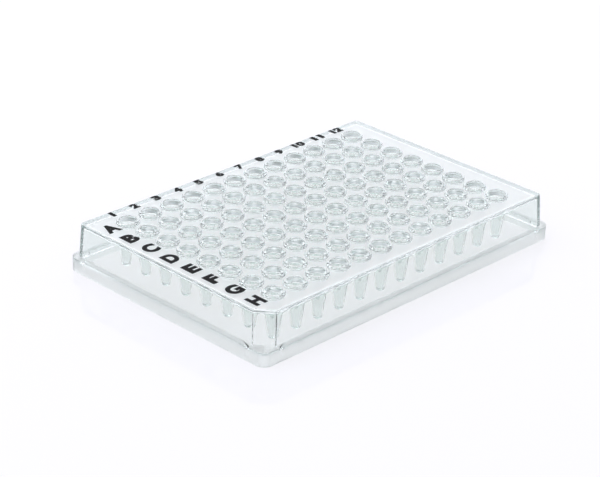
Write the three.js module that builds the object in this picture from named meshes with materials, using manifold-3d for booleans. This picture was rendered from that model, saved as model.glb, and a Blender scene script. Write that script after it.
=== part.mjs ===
// A 96-well plate with a full skirt, moulded in one piece: a deck with 8 x 12 thin tapered wells,
// a drafted skirt with one cut corner, and a stepped foot flange. Millimetres, +Z up.
// The origin is the centre of the base. Columns run along +X and rows along -Y, so well A1
// is at -X +Y and the cut corner is beside well H1, at -X -Y.
import * as THREE from 'three';
import { mergeVertices } from 'three/addons/utils/BufferGeometryUtils.js';
import Module from 'manifold-3d';

// Well grid, and the foot's outer faces measured from it: 127.76 x 85.48 overall
const columns = 12;
const rows = 8;
const pitch = 9;
const edgeToWellX = 14.38; // outer face of a short side to the nearest well centre
const edgeToWellY = 11.24; // outer face of a long side to the nearest well centre

// Heights above the base
const flangeHeight = 4.5;
const deckHeight = 15.1;

// Foot flange
const footRadius = 3.18;
const footWall = 1.2;
const shelfThickness = 1.2;
const shelfWidthX = 2.04;
const shelfWidthY = 1.7;

// Skirt above the flange
const skirtDraft = 0.55; // how far the wall leans in from the shelf to the deck
const skirtWall = 1.3;
const skirtRadius = 1.6;
const skirtInnerRadius = 3;
const cornerCutX = 4.6; // legs of the cut corner
const cornerCutY = 5.5;
const cutEdgeRadius = 0.5; // on the cut's two edges, outside and inside
const deckThickness = 1.2;

// Wells
const wellSides = 8;
const rimHeight = 0.8;
const rimRadius = 3.6;
const mouthRadius = 2.8;
const wellWall = 0.45;
const wellTaper = Math.tan(THREE.MathUtils.degToRad(7.2));
const tipClearance = 0.9; // from the base plane up to the well tips
const tipRounding = 0.75;
const tipFlatRadius = 0.85;
const floorThickness = 0.6;

// Finger notches in the flange, two to a side
const notchFromEnd = 7;
const notchWidth = 1.6;
const notchDepth = 0.8;
const notchHeight = 3.2;

const cutMargin = 0.5; // how far a cutting solid runs past the face it opens
const arcSteps = 5;

const rimTop = deckHeight + rimHeight;
const gridHalf = new THREE.Vector2((columns - 1) * pitch / 2, (rows - 1) * pitch / 2);
const footHalf = new THREE.Vector2(gridHalf.x + edgeToWellX, gridHalf.y + edgeToWellY);
const skirtHalf = new THREE.Vector2(footHalf.x - shelfWidthX, footHalf.y - shelfWidthY);

const wasm = await Module();
wasm.setup();

function toSolid(geometry) {
  const bare = geometry.clone();
  bare.deleteAttribute('normal');
  bare.deleteAttribute('uv');
  const merged = mergeVertices(bare.index ? bare.toNonIndexed() : bare, 1e-4);
  return new wasm.Manifold(new wasm.Mesh({
    numProp: 3,
    vertProperties: new Float32Array(merged.attributes.position.array),
    triVerts: new Uint32Array(merged.index.array),
  }));
}

function toGeometry(solid) {
  const mesh = solid.getMesh();
  const geometry = new THREE.BufferGeometry();
  geometry.setAttribute('position', new THREE.BufferAttribute(mesh.vertProperties, 3));
  geometry.setIndex(new THREE.BufferAttribute(mesh.triVerts, 1));
  geometry.computeVertexNormals();
  return geometry;
}

// Counter-clockwise arc round one corner of a rectangle; signs pick the corner.
function roundCorner(half, signX, signY, radius, startAngle) {
  const points = [];
  for (let step = 0; step <= arcSteps; step++) {
    const angle = startAngle + (Math.PI / 2) * (step / arcSteps);
    points.push(new THREE.Vector2(
      signX * (half.x - radius) + radius * Math.cos(angle),
      signY * (half.y - radius) + radius * Math.sin(angle),
    ));
  }
  return points;
}

// The cut corner at -X -Y: a straight cut, rounded where it meets the walls on either side.
function cutCorner(half, legs, edgeRadius) {
  const start = new THREE.Vector2(-half.x, -half.y + legs.y);
  const end = new THREE.Vector2(-half.x + legs.x, -half.y);
  const reach = edgeRadius * Math.tan(Math.PI / 8); // tangent length at a 135-degree edge
  const along = end.clone().sub(start).normalize().multiplyScalar(reach);
  const startRound = new THREE.QuadraticBezierCurve(
    start.clone().add(new THREE.Vector2(0, reach)), start, start.clone().add(along));
  const endRound = new THREE.QuadraticBezierCurve(
    end.clone().sub(along), end, end.clone().add(new THREE.Vector2(reach, 0)));
  const perRound = (arcSteps - 1) / 2;
  return [...startRound.getPoints(perRound), ...endRound.getPoints(perRound)];
}

// Outline with four round corners, or three and a cut one with the given legs.
function plateOutline(half, radius, legs, edgeRadius) {
  const lastCorner = legs
    ? cutCorner(half, legs, edgeRadius)
    : roundCorner(half, -1, -1, radius, Math.PI);
  return [
    ...roundCorner(half, 1, 1, radius, 0),
    ...roundCorner(half, -1, 1, radius, Math.PI / 2),
    ...lastCorner,
    ...roundCorner(half, 1, -1, radius, 1.5 * Math.PI),
  ];
}

// Closed solid through outlines of equal length, one above the other.
function loft(sections) {
  const positions = [];
  for (const { outline, z } of sections) {
    for (const point of outline) positions.push(point.x, point.y, z);
  }
  const count = sections[0].outline.length;
  const indices = [];
  for (let level = 0; level < sections.length - 1; level++) {
    for (let i = 0; i < count; i++) {
      const next = (i + 1) % count;
      const low = level * count;
      const high = low + count;
      indices.push(low + i, low + next, high + next, low + i, high + next, high + i);
    }
  }
  const top = (sections.length - 1) * count;
  for (const [a, b, c] of THREE.ShapeUtils.triangulateShape(sections[0].outline, [])) {
    indices.push(c, b, a);
  }
  for (const [a, b, c] of THREE.ShapeUtils.triangulateShape(sections.at(-1).outline, [])) {
    indices.push(top + a, top + b, top + c);
  }
  const geometry = new THREE.BufferGeometry();
  geometry.setAttribute('position', new THREE.Float32BufferAttribute(positions, 3));
  geometry.setIndex(indices);
  return toSolid(geometry);
}

function inset(half, distance) {
  return new THREE.Vector2(half.x - distance, half.y - distance);
}

// An offset inwards shortens both legs of a 45-degree cut by this share of the distance.
const legShortening = 2 - Math.SQRT2;

function cutLegs(distance) {
  return new THREE.Vector2(
    cornerCutX - legShortening * distance,
    cornerCutY - legShortening * distance,
  );
}

// The skirt leans in evenly, so its legs stay the same from the shelf to the deck.
function skirtOutline(distance) {
  return plateOutline(inset(skirtHalf, distance), skirtRadius, cutLegs(0), cutEdgeRadius);
}

function cavityOutline(distance) {
  return plateOutline(
    inset(skirtHalf, skirtWall + distance), skirtInnerRadius, cutLegs(skirtWall), cutEdgeRadius);
}

function makeShell() {
  const foot = plateOutline(footHalf, footRadius);
  const outside = loft([
    { outline: foot, z: 0 },
    { outline: foot, z: flangeHeight },
    { outline: skirtOutline(0), z: flangeHeight },
    { outline: skirtOutline(skirtDraft), z: deckHeight },
  ]);

  const footInside = plateOutline(inset(footHalf, footWall), footRadius - footWall);
  const shelfUnderside = flangeHeight - shelfThickness;
  const inside = loft([
    { outline: footInside, z: -cutMargin },
    { outline: footInside, z: shelfUnderside },
    { outline: cavityOutline(0), z: shelfUnderside },
    { outline: cavityOutline(skirtDraft), z: deckHeight - deckThickness },
  ]);
  return outside.subtract(inside);
}

// A solid of revolution about Z, given its profile from the foot of the axis to the top.
function revolve(profile) {
  const points = profile.map(([radius, z]) => new THREE.Vector2(radius, z));
  return new THREE.LatheGeometry(points, wellSides).rotateX(Math.PI / 2);
}

function boreRadiusAt(z) {
  return mouthRadius - (rimTop - z) * wellTaper;
}

// Outside of one well: rounded tip, tapered body, and the raised rim above the deck.
function wellBody() {
  const kneeZ = tipClearance + tipRounding;
  const rootZ = deckHeight - deckThickness / 2; // inside the deck, where body and rim meet
  return revolve([
    [0, tipClearance],
    [tipFlatRadius, tipClearance],
    [boreRadiusAt(kneeZ) + wellWall, kneeZ],
    [boreRadiusAt(rootZ) + wellWall, rootZ],
    [rimRadius, rootZ],
    [rimRadius, rimTop],
    [0, rimTop],
  ]);
}

// Inside of one well: a tapered bore that ends in a shallow conical floor.
function wellBore() {
  const floorZ = tipClearance + floorThickness;
  const kneeZ = floorZ + tipRounding / 2;
  const openZ = rimTop + cutMargin;
  return revolve([
    [0, floorZ],
    [boreRadiusAt(kneeZ), kneeZ],
    [boreRadiusAt(openZ), openZ],
    [0, openZ],
  ]);
}

// Copies of a geometry at every well centre, as one solid.
function atEveryWell(geometry) {
  const copies = [];
  for (let column = 0; column < columns; column++) {
    for (let row = 0; row < rows; row++) {
      const x = column * pitch - gridHalf.x;
      const y = gridHalf.y - row * pitch;
      copies.push(toSolid(geometry.clone().translate(x, y, 0)));
    }
  }
  return wasm.Manifold.union(copies);
}

// A notch is the inner half of a four-sided point, tip down, on the flange's outer face.
function makeNotches() {
  const height = notchHeight + cutMargin;
  const grow = height / notchHeight; // keeps the notch's size at the shelf itself
  const point = new THREE.ConeGeometry(1, height, 4)
    .rotateX(-Math.PI / 2)
    .translate(0, 0, flangeHeight + cutMargin - height / 2);
  const alongX = point.clone().scale((notchWidth / 2) * grow, notchDepth * grow, 1);
  const alongY = point.clone().scale(notchDepth * grow, (notchWidth / 2) * grow, 1);
  const notches = [];
  for (const signX of [-1, 1]) {
    for (const signY of [-1, 1]) {
      notches.push(toSolid(alongX.clone().translate(
        signX * (footHalf.x - notchFromEnd), signY * footHalf.y, 0)));
      notches.push(toSolid(alongY.clone().translate(
        signX * footHalf.x, signY * (footHalf.y - notchFromEnd), 0)));
    }
  }
  return wasm.Manifold.union(notches);
}

const plateSolid = makeShell()
  .add(atEveryWell(wellBody()))
  .subtract(atEveryWell(wellBore()))
  .subtract(makeNotches());

const clearPolypropylene = new THREE.MeshStandardMaterial({
  color: 0xdde7e3,
  roughness: 0.12,
  metalness: 0,
  transparent: true,
  opacity: 0.4,
});

const wellPlate = new THREE.Mesh(toGeometry(plateSolid), clearPolypropylene);
wellPlate.name = 'well_plate';

const model = new THREE.Group();
model.add(wellPlate);

export default model;
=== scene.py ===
import bmesh
import bpy
import math
import numpy as np
from mathutils import Matrix, Vector


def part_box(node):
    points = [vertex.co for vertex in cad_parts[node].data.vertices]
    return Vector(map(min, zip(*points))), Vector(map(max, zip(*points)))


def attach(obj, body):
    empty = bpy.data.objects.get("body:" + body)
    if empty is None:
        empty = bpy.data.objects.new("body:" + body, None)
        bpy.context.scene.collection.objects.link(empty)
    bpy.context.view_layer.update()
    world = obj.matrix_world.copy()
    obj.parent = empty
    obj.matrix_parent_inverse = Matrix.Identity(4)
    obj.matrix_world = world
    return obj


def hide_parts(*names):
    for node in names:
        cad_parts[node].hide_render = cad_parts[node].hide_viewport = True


mm = 0.001
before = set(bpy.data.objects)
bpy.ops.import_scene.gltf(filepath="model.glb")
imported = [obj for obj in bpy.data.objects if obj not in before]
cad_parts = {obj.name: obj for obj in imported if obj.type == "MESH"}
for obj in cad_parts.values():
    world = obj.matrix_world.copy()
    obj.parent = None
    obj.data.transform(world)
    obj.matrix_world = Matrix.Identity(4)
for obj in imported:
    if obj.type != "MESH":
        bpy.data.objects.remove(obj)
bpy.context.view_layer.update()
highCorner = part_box("well_plate")[1]  # the plate stands on z = 0, centred on the origin
print("frame loaded, CAD nodes:", len(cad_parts))


def linearColour(hexColour, alpha=1.0):
    channels = [int(hexColour[i:i + 2], 16) / 255 for i in (1, 3, 5)]
    linear = [c / 12.92 if c <= 0.04045 else ((c + 0.055) / 1.055) ** 2.4 for c in channels]
    return (*linear, alpha)


def addNode(tree, kind, settings=None, links=None):
    node = tree.nodes.new(kind)
    for name, value in (settings or {}).items():
        if isinstance(name, int) or name in node.inputs:
            node.inputs[name].default_value = value
        else:
            setattr(node, name, value)
    for name, socket in (links or {}).items():
        tree.links.new(socket, node.inputs[name])
    return node


def newMaterial(name):
    material = bpy.data.materials.new(name)
    material.use_nodes = True
    material.node_tree.nodes.clear()
    return material, material.node_tree


def link(obj):
    bpy.context.scene.collection.objects.link(obj)
    return obj


# Camera

viewpoint = {
    "azimuthDeg": -46.03,  # the H1 corner faces the camera
    "elevationDeg": 25.93,
    "rollDeg": 1.79,
    "distance": 672.4 * mm,
    "target": (3.76 * mm, 9.96 * mm, 0.0),
    "focalLength": 127.1,
    "sensorWidth": 36,
    "clipStart": 10 * mm,
}


def makeCamera():
    azimuth = math.radians(viewpoint["azimuthDeg"])
    elevation = math.radians(viewpoint["elevationDeg"])
    roll = math.radians(viewpoint["rollDeg"])
    back = Vector((math.sin(azimuth) * math.cos(elevation),
                   -math.cos(azimuth) * math.cos(elevation),
                   math.sin(elevation)))
    level = Vector((math.cos(azimuth), math.sin(azimuth), 0))
    up = back.cross(level)
    right = math.cos(roll) * level + math.sin(roll) * up
    top = back.cross(right)
    data = bpy.data.cameras.new("camera")
    data.lens = viewpoint["focalLength"]
    data.sensor_width = viewpoint["sensorWidth"]
    data.clip_start = viewpoint["clipStart"]
    camera = link(bpy.data.objects.new("camera", data))
    place = Matrix((right, top, back)).transposed().to_4x4()
    place.translation = Vector(viewpoint["target"]) + back * viewpoint["distance"]
    camera.matrix_world = place
    bpy.context.scene.camera = camera


makeCamera()
print("camera placed")


# Clear polypropylene, injection moulded against polished steel: glassy but faintly hazy, with
# long light paths inside the walls turning a pale grey-green at every edge. The foot and the
# underside of the deck come from textured parts of the mould, and look frosted.

clearPlastic = {
    "colour": "#f9fcfb",
    "roughness": 0.03,
    "footRoughness": 0.34,
    "undersideRoughness": 0.4,
    "ior": 1.49,
    "haze": 0.02,  # share of light the resin scatters
    "hazeColour": "#ffffff",
    "absorbColour": "#9ebfbc",
    "absorbPerMetre": 40.0,
    "flowLength": 6.0 * mm,  # slow waves left by the melt's flow
    "flowHeight": 0.004 * mm,
    "flowDetail": 1.0,
    "flowUnevenness": 0.4,
}


def makeClearPlastic():
    material, tree = newMaterial("moulded_clear_polypropylene")
    coordinates = addNode(tree, "ShaderNodeTexCoord")
    flow = addNode(tree, "ShaderNodeTexNoise",
                   {"Scale": 1 / clearPlastic["flowLength"],
                    "Detail": clearPlastic["flowDetail"],
                    "Roughness": clearPlastic["flowUnevenness"]},
                   {"Vector": coordinates.outputs["Object"]})
    bump = addNode(tree, "ShaderNodeBump",
                   {"Strength": 1.0, "Distance": clearPlastic["flowHeight"]},
                   {"Height": flow.outputs["Fac"]})
    mouldFinish = addNode(tree, "ShaderNodeAttribute", {"attribute_name": "mouldFinish"})
    resin = addNode(tree, "ShaderNodeBsdfPrincipled",
                    {"Base Color": linearColour(clearPlastic["colour"]),
                     "IOR": clearPlastic["ior"],
                     "Transmission Weight": 1.0},
                    {"Normal": bump.outputs["Normal"], "Roughness": mouldFinish.outputs["Fac"]})
    haze = addNode(tree, "ShaderNodeBsdfTranslucent",
                   {"Color": linearColour(clearPlastic["hazeColour"])})
    mix = addNode(tree, "ShaderNodeMixShader", {"Fac": clearPlastic["haze"]},
                  {1: resin.outputs["BSDF"], 2: haze.outputs["BSDF"]})
    absorb = addNode(tree, "ShaderNodeVolumeAbsorption",
                     {"Color": linearColour(clearPlastic["absorbColour"]),
                      "Density": clearPlastic["absorbPerMetre"]})
    addNode(tree, "ShaderNodeOutputMaterial", None,
            {"Surface": mix.outputs["Shader"], "Volume": absorb.outputs["Volume"]})
    return material


# The plate, in millimetres until its vertices are made. A blend is how far from a corner the
# curve that softens it starts.

plate = {
    "columns": 12,
    "rows": 8,
    "pitch": 9.0,
    "rimHeight": 0.8,
    "rimRadius": 3.6,
    "rimBlend": 0.2,
    "rimRootBlend": 0.12,
    "mouthRadius": 2.8,
    "taperDeg": 7.2,
    "wellWall": 0.45,
    "wellRootBlend": 0.35,
    "tipClearance": 0.9,
    "tipBlend": 0.75,
    "floorThickness": 0.6,
    "floorBlend": 0.7,
    "floorCentre": 0.2,  # radius of the last ring before a well's middle
    "deckThickness": 1.2,
    "deckUnderBlend": 0.5,
    "flangeHeight": 4.5,
    "footRadius": 3.18,
    "footWall": 1.2,
    "footBlend": 0.15,
    "shelfThickness": 1.2,
    "shelfWidth": (2.04, 1.7),
    "skirtDraft": 0.55,
    "skirtWall": 1.3,
    "skirtRadius": 1.6,
    "skirtInnerRadius": 0.6,
    "cutLegs": (4.6, 5.5),
    "cutEdgeRadius": 0.5,
    "edgeBlend": 0.1,
    "notchFromEnd": 7.0,
    "notchWidth": 1.6,
    "notchDepth": 0.8,
    "notchHeight": 3.2,
    "wellSegments": 32,
    "cornerSegments": 8,
    "weld": 0.002,  # points nearer than this are one
    "touch": 0.02,  # how near counts as lying on a face
}
footHalf = np.array([highCorner.x, highCorner.y]) / mm
skirtHalf = footHalf - np.array(plate["shelfWidth"])
cavityHalf = skirtHalf - plate["skirtWall"]
rimTop = highCorner.z / mm
deckTop = rimTop - plate["rimHeight"]
deckUnder = deckTop - plate["deckThickness"]
shelfUnder = plate["flangeHeight"] - plate["shelfThickness"]
notchFoot = plate["flangeHeight"] - plate["notchHeight"]
perEdge = plate["wellSegments"] // 4  # points along each edge of a well's square cell


def columnX(column):
    return (column - (plate["columns"] - 1) / 2) * plate["pitch"]


def rowY(row):
    return ((plate["rows"] - 1) / 2 - row) * plate["pitch"]


def softened(points):
    # points are (position, blend, steps), and each corner with a blend becomes a short curve;
    # the first and last may be any points on the lines that lead in and out
    path = []
    for i, (point, blend, steps) in enumerate(points):
        point = np.array(point, float)
        if blend == 0:
            path.append(point)
            continue
        before = np.array(points[i - 1][0], float) - point
        after = np.array(points[i + 1][0], float) - point
        start = point + before / np.linalg.norm(before) * blend
        end = point + after / np.linalg.norm(after) * blend
        for t in np.linspace(0, 1, steps + 1):
            path.append((1 - t) ** 2 * start + 2 * t * (1 - t) * point + t * t * end)
    return path


def addRing(work, points):
    return [work.verts.new([c * mm for c in point]) for point in points]


def addFace(work, corners, flip):
    work.faces.new(corners[::-1] if flip else corners)


def joinRings(work, outer, inner, flip):
    for i in range(len(outer)):
        j = (i + 1) % len(outer)
        addFace(work, (outer[i], outer[j], inner[j], inner[i]), flip)


def closeRing(work, ring, centre, flip):
    middle = addRing(work, [centre])[0]
    for i in range(len(ring)):
        addFace(work, (ring[i], ring[(i + 1) % len(ring)], middle), flip)


# Wells: each fills a square cell of the deck, once for its inside and once for its outside

def boreRadius(z):
    return plate["mouthRadius"] - (rimTop - z) * math.tan(math.radians(plate["taperDeg"]))


def insideProfile():
    # (radius, z) from the deck over the rim and down the bore, led in along the deck
    floor = plate["tipClearance"] + plate["floorThickness"]
    return softened([
        ((plate["rimRadius"] + 1, deckTop), 0, 0),
        ((plate["rimRadius"], deckTop), plate["rimRootBlend"], 2),
        ((plate["rimRadius"], rimTop), plate["rimBlend"], 2),
        ((plate["mouthRadius"], rimTop), plate["rimBlend"], 2),
        ((boreRadius(floor), floor), plate["floorBlend"], 4),
        ((plate["floorCentre"], floor), 0, 0),
    ])[1:]


def outsideProfile():
    # (radius, z) from under the deck down to the tip, led in along the deck's underside
    tip = plate["tipClearance"]
    wall = plate["wellWall"]
    return softened([
        ((boreRadius(deckUnder) + wall + 1, deckUnder), 0, 0),
        ((boreRadius(deckUnder) + wall, deckUnder), plate["wellRootBlend"], 2),
        ((boreRadius(tip) + wall, tip), plate["tipBlend"], 4),
        ((plate["floorCentre"], tip), 0, 0),
    ])[1:]


def addWell(work, x, y, profile, deckZ, flip):
    angles = np.arange(plate["wellSegments"]) * 2 * math.pi / plate["wellSegments"]
    unit = np.stack([np.cos(angles), np.sin(angles)], -1)
    square = unit / np.abs(unit).max(1, keepdims=True) * plate["pitch"] / 2
    centre = np.array([x, y])
    previous = addRing(work, [(*(centre + p), deckZ) for p in square])
    for radius, z in profile:
        ring = addRing(work, [(*(centre + p * radius), z) for p in unit])
        joinRings(work, previous, ring, flip)
        previous = ring
    closeRing(work, previous, (x, y, profile[-1][1]), flip)


def addWells(work):
    inside, outside = insideProfile(), outsideProfile()
    for column in range(plate["columns"]):
        for row in range(plate["rows"]):
            addWell(work, columnX(column), rowY(row), inside, deckTop, flip=False)
            addWell(work, columnX(column), rowY(row), outside, deckUnder, flip=True)


# Shell: rings from the block of wells out over the skirt, round the foot and back up inside.
# Every ring has as many points as the block's edge, so that they join one to one.

def sideStations(cells):
    # the well cells' own points along one side of the block
    steps = (np.arange(perEdge) - perEdge / 2) * 2 * math.pi / plate["wellSegments"]
    along = [plate["pitch"] * (cell + 0.5 + 0.5 * np.tan(steps)) for cell in range(cells)]
    return np.concatenate(along) - plate["pitch"] * cells / 2


def blockOutline(z):
    halfX = plate["columns"] * plate["pitch"] / 2
    halfY = plate["rows"] * plate["pitch"] / 2
    alongX = sideStations(plate["columns"])
    alongY = sideStations(plate["rows"])
    points = [(halfX, y) for y in alongY] + [(-x, halfY) for x in alongX]
    points += [(-halfX, -y) for y in alongY] + [(x, -halfY) for x in alongX]
    return [(x, y, z) for x, y in points]


def roundCorner(half, radius, signX, signY, startDeg):
    centre = np.array([signX * (half[0] - radius), signY * (half[1] - radius)])
    angles = np.radians(startDeg + np.linspace(0, 90, plate["cornerSegments"] + 1))
    return [centre + radius * np.array([math.cos(a), math.sin(a)]) for a in angles]


def cutCorner(half, legs):
    # a straight cut beside H1, rounded where it meets the walls, with a point in its middle
    start = np.array([-half[0], -half[1] + legs[1]])
    end = np.array([-half[0] + legs[0], -half[1]])
    reach = plate["cutEdgeRadius"] * math.tan(math.pi / 8)
    perRound = plate["cornerSegments"] // 2
    outline = softened([
        (start + [0, 1], 0, 0), (start, reach, perRound - 1),
        (end, reach, perRound - 1), (end + [1, 0], 0, 0),
    ])[1:-1]
    middle = (outline[perRound - 1] + outline[perRound]) / 2
    return outline[:perRound] + [middle] + outline[perRound:]


def cornersOf(outline, half):
    # counter-clockwise, from +X -Y
    corners = [roundCorner(half, outline["radius"], signX, signY, startDeg)
               for signX, signY, startDeg in ((1, -1, 270), (1, 1, 0), (-1, 1, 90), (-1, -1, 180))]
    if outline["legs"]:
        corners[3] = cutCorner(half, outline["legs"])
    return corners


def stationShares(side):
    # points along the straight part of a side, as shares of it, with three at each notch
    count = (plate["rows"], plate["columns"])[side % 2] * perEdge - plate["cornerSegments"] - 1
    straight = 2 * (footHalf[1 - side % 2] - plate["footRadius"])
    middle = (plate["notchFromEnd"] - plate["footRadius"]) / straight
    half = plate["notchWidth"] / 2 / straight
    notch = np.array([middle - half, middle, middle + half])
    between = np.linspace(notch[2], 1 - notch[2], count - 2 * len(notch) + 2)[1:-1]
    return np.concatenate([notch, between, 1 - notch[::-1]])


def shellRing(outline, inset, z, notchDepth):
    corners = cornersOf(outline, outline["half"] - inset)
    middle = plate["cornerSegments"] // 2
    points = []
    for side in range(4):
        start = corners[side][middle:]
        end = corners[(side + 1) % 4][:middle + 1]
        along = end[0] - start[-1]
        inward = np.array([-along[1], along[0]]) / np.linalg.norm(along)
        shares = stationShares(side)
        points.extend(start)
        for i, share in enumerate(shares):
            depth = notchDepth if i in (1, len(shares) - 2) else 0
            points.append(start[-1] + along * share + inward * depth)
        points.extend(end[:-1])
    return [(x, y, z) for x, y in points]


legShortening = 2 - math.sqrt(2)  # how much an offset inwards shortens the legs of a cut corner
footOutside = {"half": footHalf, "radius": plate["footRadius"], "legs": None}
footInside = {"half": footHalf - plate["footWall"],
              "radius": plate["footRadius"] - plate["footWall"], "legs": None}
skirtOutside = {"half": skirtHalf, "radius": plate["skirtRadius"], "legs": plate["cutLegs"]}
skirtInside = {"half": cavityHalf, "radius": plate["skirtInnerRadius"],
               "legs": [leg - legShortening * plate["skirtWall"] for leg in plate["cutLegs"]]}


def shellLevels():
    # (outline, inset, z, blend, steps), from the deck's edge down, round the foot and up inside
    soft = plate["edgeBlend"]
    draft = plate["skirtDraft"]
    flange = plate["flangeHeight"]
    return [
        (skirtOutside, draft, deckTop, soft, 3),
        (skirtOutside, 0, flange, soft, 2),
        (footOutside, 0, flange, soft, 2),
        (footOutside, 0, 0, plate["footBlend"], 2),
        (footInside, 0, 0, plate["footBlend"], 2),
        (footInside, 0, shelfUnder, soft, 2),
        (skirtInside, 0, shelfUnder, soft, 2),
        (skirtInside, draft, deckUnder, plate["deckUnderBlend"], 3),
    ]


def notchDepthAt(z):
    return plate["notchDepth"] * max(0.0, (z - notchFoot) / plate["notchHeight"])


def addShell(work):
    levels = shellLevels()
    blockHalf = plate["columns"] * plate["pitch"] / 2
    # the shell's section across one side, as (distance from the centre, z)
    section = [(outline["half"][0] - inset, z) for outline, inset, z, _, _ in levels]
    section = [(blockHalf, deckTop), *section, (blockHalf, deckUnder)]
    previous = addRing(work, blockOutline(deckTop))
    for i, (outline, _, z, blend, steps) in enumerate(levels):
        corner = [(section[i], 0, 0), (section[i + 1], blend, steps), (section[i + 2], 0, 0)]
        path = softened(corner)[1:-1]
        if outline is footOutside and z == 0:
            path.insert(0, (footHalf[0], notchFoot))  # a ring where the notches end
        for reach, height in path:
            depth = notchDepthAt(height) if outline is footOutside else 0
            ring = addRing(work, shellRing(outline, outline["half"][0] - reach, height, depth))
            joinRings(work, previous, ring, flip=True)
            previous = ring
    joinRings(work, previous, addRing(work, blockOutline(deckUnder)), flip=True)


# Finish: which of the mould's surfaces a face comes from

def onNotch(vertex):
    x, y, z = (abs(c) / mm for c in vertex.co)
    touch = plate["touch"]
    near = plate["notchWidth"] / 2 + touch
    deep = plate["notchDepth"] + plate["edgeBlend"] + touch
    onLongSide = y > footHalf[1] - deep and abs(footHalf[0] - plate["notchFromEnd"] - x) < near
    onShortSide = x > footHalf[0] - deep and abs(footHalf[1] - plate["notchFromEnd"] - y) < near
    return z > notchFoot - touch and (onLongSide or onShortSide)


def isNotch(face):
    return all(onNotch(vertex) for vertex in face.verts)


def finishOf(face):
    x, y, z = (abs(c) / mm for c in face.calc_center_median())
    touch = plate["touch"]
    # the foot starts at the skirt's outside, and under the shelf at the skirt's inside
    edge = skirtHalf if z > shelfUnder + touch else cavityHalf - touch
    if (x > edge[0] or y > edge[1]) and not isNotch(face):
        return clearPlastic["footRoughness"]
    if abs(z - deckUnder) < touch:
        return clearPlastic["undersideRoughness"]
    return clearPlastic["roughness"]


def makePlate():
    work = bmesh.new()
    addWells(work)
    addShell(work)
    bmesh.ops.remove_doubles(work, verts=work.verts, dist=plate["weld"] * mm)
    finish = work.faces.layers.float.new("mouldFinish")
    for face in work.faces:
        face[finish] = finishOf(face)
        face.smooth = not isNotch(face)
    openEdges = sum(not edge.is_manifold for edge in work.edges)
    volume = work.calc_volume(signed=True) / mm ** 3
    print("plate mesh:", len(work.faces), "faces,", openEdges, "open edges,", round(volume), "mm3")
    data = bpy.data.meshes.new("clear_plate")
    work.to_mesh(data)
    work.free()
    data.materials.append(makeClearPlastic())
    obj = link(bpy.data.objects.new("clear_plate", data))
    obj.modifiers.new("flat_faces_stay_flat", "WEIGHTED_NORMAL")
    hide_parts("well_plate")
    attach(obj, "root")


makePlate()
print("plate made")


# Print: row letters beside column 1 and column numbers beyond row A, in millimetres

deckPrint = {
    "letterHeight": 5.5,
    "letterWidths": {"A": 5.3, "B": 4.6, "C": 5.0, "D": 4.8, "E": 4.3, "F": 4.1, "G": 5.3, "H": 4.5},
    "letterX": -56.4,
    "letterBoldness": 0.065,  # how far the strokes are fattened, as a share of the height
    "numberHeight": 3.25,
    "digitWidth": 2.8,
    "oneWidth": 1.4,
    "pairWidth": 4.76,
    "numberY": 38.8,
    "numberBoldness": 0.08,
    "curveSteps": 6,
    "thickness": 0.012,
    "lift": 0.004,
    "weld": 0.0005,
}

padInk = {
    "colour": "#0a0b0c",
    "roughness": (0.67, 0.83),
    "ior": 1.5,
    "specular": 0.15,
    "speckLength": 0.25 * mm,
    "speckDetail": 3.0,
}


def makeInk():
    # pad-printing ink, dense black, dried to a soft and slightly uneven sheen
    material, tree = newMaterial("pad_print_ink")
    coordinates = addNode(tree, "ShaderNodeTexCoord")
    speck = addNode(tree, "ShaderNodeTexNoise",
                    {"Scale": 1 / padInk["speckLength"], "Detail": padInk["speckDetail"]},
                    {"Vector": coordinates.outputs["Object"]})
    smoothest, roughest = padInk["roughness"]
    sheen = addNode(tree, "ShaderNodeMapRange", {"To Min": smoothest, "To Max": roughest},
                    {"Value": speck.outputs["Fac"]})
    ink = addNode(tree, "ShaderNodeBsdfPrincipled",
                  {"Base Color": linearColour(padInk["colour"]),
                   "IOR": padInk["ior"],
                   "Specular IOR Level": padInk["specular"]},
                  {"Roughness": sheen.outputs["Result"]})
    addNode(tree, "ShaderNodeOutputMaterial", None, {"Surface": ink.outputs["BSDF"]})
    return material


def labelShape(text, size, centre, boldness):
    # the points and faces of one label, stretched to its printed size
    curve = bpy.data.curves.new("label", "FONT")
    curve.body = text
    curve.offset = boldness
    curve.resolution_u = deckPrint["curveSteps"]
    curve.extrude = 0.1  # any depth will do, as it is scaled to the ink's thickness
    holder = link(bpy.data.objects.new("label", curve))
    bpy.context.view_layer.update()
    evaluated = holder.evaluated_get(bpy.context.evaluated_depsgraph_get())
    data = bpy.data.meshes.new_from_object(evaluated)
    bpy.data.objects.remove(holder)
    points = np.array([vertex.co for vertex in data.vertices])
    faces = [tuple(polygon.vertices) for polygon in data.polygons]
    bpy.data.meshes.remove(data)
    low, high = points.min(0), points.max(0)
    scale = np.array([*size, deckPrint["thickness"]]) / (high - low)
    centreZ = deckTop + deckPrint["lift"] + deckPrint["thickness"] / 2
    placed = (points - (low + high) / 2) * scale + np.array([*centre, centreZ])
    return placed * mm, faces


def makeLabels(name, labels, boldness, ink):
    vertices, faces = [], []
    for text, size, centre in labels:
        points, parts = labelShape(text, size, centre, boldness)
        first = len(vertices)
        vertices.extend(map(tuple, points))
        faces.extend(tuple(first + i for i in part) for part in parts)
    data = bpy.data.meshes.new(name)
    data.from_pydata(vertices, [], faces)
    work = bmesh.new()
    work.from_mesh(data)
    bmesh.ops.remove_doubles(work, verts=work.verts, dist=deckPrint["weld"] * mm)
    work.to_mesh(data)
    work.free()
    data.materials.append(ink)
    obj = link(bpy.data.objects.new(name, data))
    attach(obj, "root")


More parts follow.
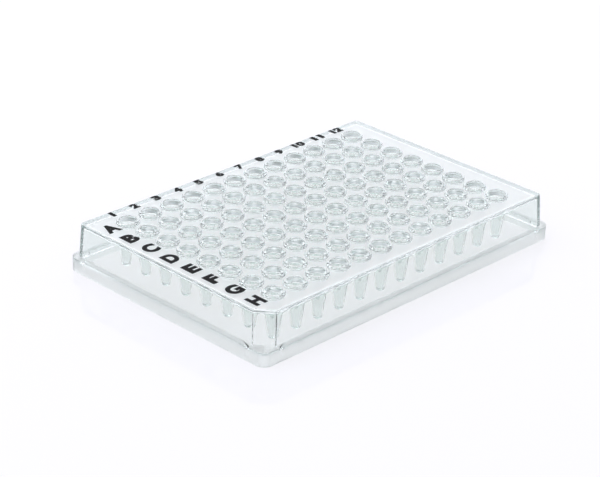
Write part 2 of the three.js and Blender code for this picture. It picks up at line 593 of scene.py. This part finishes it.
def makeRowLetters(ink):
    labels = []
    for row in range(plate["rows"]):
        letter = chr(ord("A") + row)
        size = (deckPrint["letterWidths"][letter], deckPrint["letterHeight"])
        labels.append((letter, size, (deckPrint["letterX"], rowY(row))))
    makeLabels("row_letters", labels, deckPrint["letterBoldness"], ink)


def makeColumnNumbers(ink):
    labels = []
    for column in range(plate["columns"]):
        number = str(column + 1)
        width = deckPrint["digitWidth"] if len(number) == 1 else deckPrint["pairWidth"]
        if number == "1":
            width = deckPrint["oneWidth"]
        centre = (columnX(column), deckPrint["numberY"])
        labels.append((number, (width, deckPrint["numberHeight"]), centre))
    makeLabels("column_numbers", labels, deckPrint["numberBoldness"], ink)


blackInk = makeInk()
makeRowLetters(blackInk)
makeColumnNumbers(blackInk)
print("print made")


# Studio: a glossy white table, white surroundings and soft lamps, with a painted reflection of soft
# boxes and darker low walls that shows only in and through the plastic

studio = {
    "floorSize": 1.0,
    "floorDrop": 0.02 * mm,  # keeps the floor's face clear of the foot's
    "floorColour": "#dddcf8",
    "floorRoughness": 0.05,
    "floorIor": 1.49,
    "white": "#ffffff",
    "floorGlow": 0.76,  # share of the floor that shows as plain white background
    "floorGlowBehind": 0.78,  # the same, as seen through the plastic
    "ambient": 0.88,
    "paintedReflectionTint": "#f8f5fc",  # the painted reflection that the plastic mirrors is a cool white
    # (sine of the height above the horizon, brightness) of the painted reflection: darker low walls,
    # then a band of soft boxes brighter than any lamp, which light nothing
    "paintedReflectionBands": [(0.0, 0.9), (0.03, 0.9), (0.07, 0.3), (0.1, 0.3), (0.22, 0.8),
             (0.32, 2.55), (0.6, 2.55), (0.7, 1.0)],
    "keySize": 0.9,
    "keyWatts": 4.0,
    "keyPlace": (-0.35, 0.5, 0.9),
    "fillSize": 0.7,
    "fillWatts": 1.15,
    "fillPlace": (-0.7, -0.6, 0.5),
    "bounces": 40,  # light runs on and on inside clear walls
}


def throughPlastic(tree, path):
    # 1 for rays that come off or through the plastic, 0 for camera rays and falling light
    return addNode(tree, "ShaderNodeMath", {"operation": "MAXIMUM"},
                   {0: path.outputs["Is Glossy Ray"], 1: path.outputs["Is Transmission Ray"]})


def makeTableTop():
    # cast acrylic sheet, polished: a clean white with a faint mirror image in it
    material, tree = newMaterial("white_acrylic_table")
    gloss = addNode(tree, "ShaderNodeBsdfPrincipled",
                    {"Base Color": linearColour(studio["floorColour"]),
                     "Roughness": studio["floorRoughness"],
                     "IOR": studio["floorIor"]})
    white = addNode(tree, "ShaderNodeEmission",
                    {"Color": linearColour(studio["white"]), "Strength": 1.0})
    path = addNode(tree, "ShaderNodeLightPath")
    behind = addNode(tree, "ShaderNodeMath",
                     {"operation": "MULTIPLY", 1: studio["floorGlowBehind"]},
                     {0: throughPlastic(tree, path).outputs[0]})
    share = addNode(tree, "ShaderNodeMath",
                    {"operation": "MULTIPLY_ADD", 1: studio["floorGlow"]},
                    {0: path.outputs["Is Camera Ray"], 2: behind.outputs[0]})
    mix = addNode(tree, "ShaderNodeMixShader", None,
                  {"Fac": share.outputs[0], 1: gloss.outputs["BSDF"], 2: white.outputs["Emission"]})
    addNode(tree, "ShaderNodeOutputMaterial", None, {"Surface": mix.outputs["Shader"]})
    return material


def makeFloor():
    half = studio["floorSize"] / 2
    corners = [(-half, -half, 0), (half, -half, 0), (half, half, 0), (-half, half, 0)]
    data = bpy.data.meshes.new("table")
    data.from_pydata(corners, [], [(0, 1, 2, 3)])
    data.materials.append(makeTableTop())
    floor = link(bpy.data.objects.new("table", data))
    floor.location.z = -studio["floorDrop"]


def paintedReflectionRoom(tree):
    # painted reflection: how bright the surroundings look in and through the plastic, by the height
    # of the view; only reflection and transmission rays see it, and it lights nothing
    direction = addNode(tree, "ShaderNodeTexCoord")
    height = addNode(tree, "ShaderNodeSeparateXYZ", None, {"Vector": direction.outputs["Generated"]})
    ramp = addNode(tree, "ShaderNodeValToRGB", None, {"Fac": height.outputs["Z"]})
    peak = max(brightness for _, brightness in studio["paintedReflectionBands"])
    stops = ramp.color_ramp.elements
    while len(stops) < len(studio["paintedReflectionBands"]):
        stops.new(1.0)
    for stop, (rise, brightness) in zip(stops, studio["paintedReflectionBands"]):
        stop.position = rise
        stop.color = [c * brightness / peak for c in linearColour(studio["paintedReflectionTint"])]
    return addNode(tree, "ShaderNodeBackground", {"Strength": peak}, {"Color": ramp.outputs["Color"]})


def makeWorld():
    world = bpy.data.worlds.new("white_room")
    world.use_nodes = True
    tree = world.node_tree
    tree.nodes.clear()
    white = linearColour(studio["white"])
    falling = addNode(tree, "ShaderNodeBackground", {"Color": white, "Strength": studio["ambient"]})
    plain = addNode(tree, "ShaderNodeBackground", {"Color": white, "Strength": 1.0})
    path = addNode(tree, "ShaderNodeLightPath")
    seen = addNode(tree, "ShaderNodeMixShader", None,
                   {"Fac": path.outputs["Is Camera Ray"],
                    1: falling.outputs["Background"], 2: plain.outputs["Background"]})
    # reflection and transmission rays see the painted reflection of soft boxes and darker low walls,
    # while falling light stays plain
    mix = addNode(tree, "ShaderNodeMixShader", None,
                  {"Fac": throughPlastic(tree, path).outputs[0],
                   1: seen.outputs["Shader"], 2: paintedReflectionRoom(tree).outputs["Background"]})
    addNode(tree, "ShaderNodeOutputWorld", None, {"Surface": mix.outputs["Shader"]})
    bpy.context.scene.world = world


def makeLamp(name, place, size, watts):
    data = bpy.data.lights.new(name, "AREA")
    data.shape = "SQUARE"
    data.size = size
    data.energy = watts
    lamp = link(bpy.data.objects.new(name, data))
    lamp.location = place
    lamp.rotation_euler = (-Vector(place)).to_track_quat("-Z", "Y").to_euler()


makeFloor()
makeWorld()
makeLamp("key_softbox", studio["keyPlace"], studio["keySize"], studio["keyWatts"])
makeLamp("fill_softbox", studio["fillPlace"], studio["fillSize"], studio["fillWatts"])
scene = bpy.context.scene
scene.view_settings.view_transform = "Standard"
scene.cycles.max_bounces = studio["bounces"]
scene.cycles.transmission_bounces = studio["bounces"]
scene.cycles.glossy_bounces = studio["bounces"]
print("studio lit")
